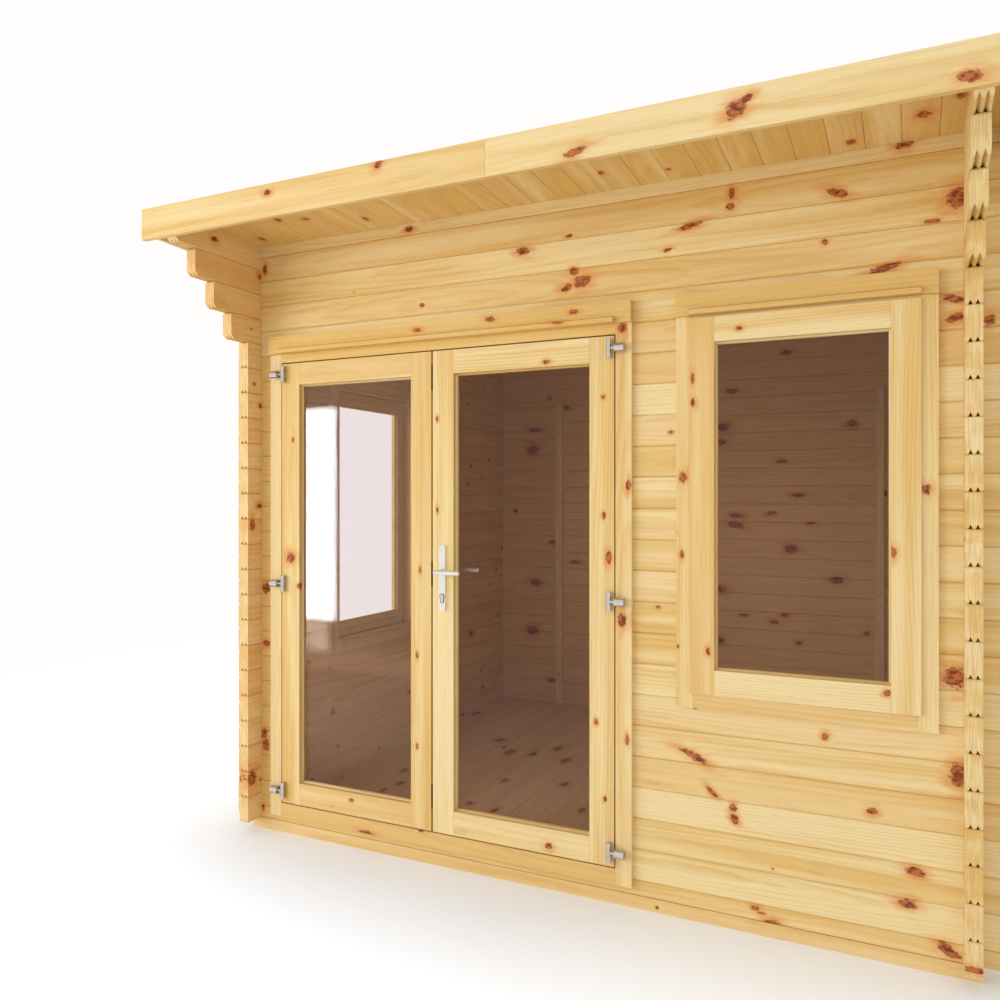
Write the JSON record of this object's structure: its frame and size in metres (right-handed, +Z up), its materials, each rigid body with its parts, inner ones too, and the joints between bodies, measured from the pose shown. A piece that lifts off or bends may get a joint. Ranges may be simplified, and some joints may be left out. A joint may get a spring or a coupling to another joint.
{
  "type": "log cabin",
  "caption": "Garden cabin of interlocking grooved logs with a pent roof on stepped corbels, a glazed double door that opens outwards, and glazed windows.",
  "frame": {"origin": "on the ground, under the middle of the roof's outline", "axes": "+X to the right along the front, +Y from the front to the rear, +Z up"},
  "size_m": [2.892, 2.9658, 2.4626],
  "materials": {
    "log_timber": "planed pine, untreated",
    "joinery": "planed pine, untreated",
    "roof_timber": "planed pine boards",
    "floor_timber": "planed pine boards",
    "felt": "mineral roofing felt",
    "glazing": "clear double glazing",
    "hinge_steel": "bright plated",
    "handle_metal": "satin",
    "keep_steel": "dark"
  },
  "bodies": {
    "cabin": {"front_wall_base_log": "log_timber", "front_wall_left_logs": "log_timber", "front_wall_low_logs": "log_timber", "front_wall_mid_logs": "log_timber", "front_wall_right_logs": "log_timber", "front_wall_top_logs": "log_timber", "left_wall_low_logs": "log_timber", "left_wall_front_logs": "log_timber", "left_wall_rear_logs": "log_timber", "left_wall_top_logs": "log_timber", "right_wall_logs": "log_timber", "right_wall_top_logs": "log_timber", "rear_wall_logs": "log_timber", "roof_purlins": "log_timber", "floor_bearers": "floor_timber", "floor_deck": "floor_timber", "roof_deck": "roof_timber", "front_fascia": "roof_timber", "roof_edge_boards": "roof_timber", "roof_felt": "felt", "door_jambs": "joinery", "door_head": "joinery", "door_threshold": "joinery", "front_head_trims": "joinery", "front_drip_bars": "joinery", "front_window_frame": "joinery", "front_window_sash": "joinery", "side_window_frame": "joinery", "side_window_head_trims": "joinery", "side_window_drip_bar": "joinery", "side_window_sash": "joinery", "storm_braces": "joinery", "front_window_glass": "glazing", "side_window_glass": "glazing", "door_hinge_pins": "hinge_steel"},
    "left_door": {"left_door_stiles": "joinery", "left_door_rails": "joinery", "left_door_glass": "glazing", "left_door_hinges": "hinge_steel", "lock_keeps": "keep_steel"},
    "right_door": {"right_door_stiles": "joinery", "right_door_rails": "joinery", "right_door_glass": "glazing", "right_door_hinges": "hinge_steel", "handle_plates": "handle_metal", "lock_cylinder": "handle_metal"},
    "door_lever": {"door_lever": "handle_metal"}
  },
  "joints": [
    {"name": "left_door_hinge", "type": "hinge", "parent": "cabin", "child": "left_door", "pos_m": [-1.15423, -1.0345, 1.0295], "axis": [0, 0, -1], "range_deg": [0, 110]},
    {"name": "right_door_hinge", "type": "hinge", "parent": "cabin", "child": "right_door", "pos_m": [0.23977, -1.0345, 1.0295], "axis": [0, 0, 1], "range_deg": [0, 110]},
    {"name": "lever_turn", "type": "hinge", "parent": "right_door", "child": "door_lever", "pos_m": [-0.40923, -1.0191, 1.106], "axis": [0, 1, 0], "range_deg": [0, 40], "stiffness_Nm_per_rad": 1, "springref_deg": -34.38}
  ]
}
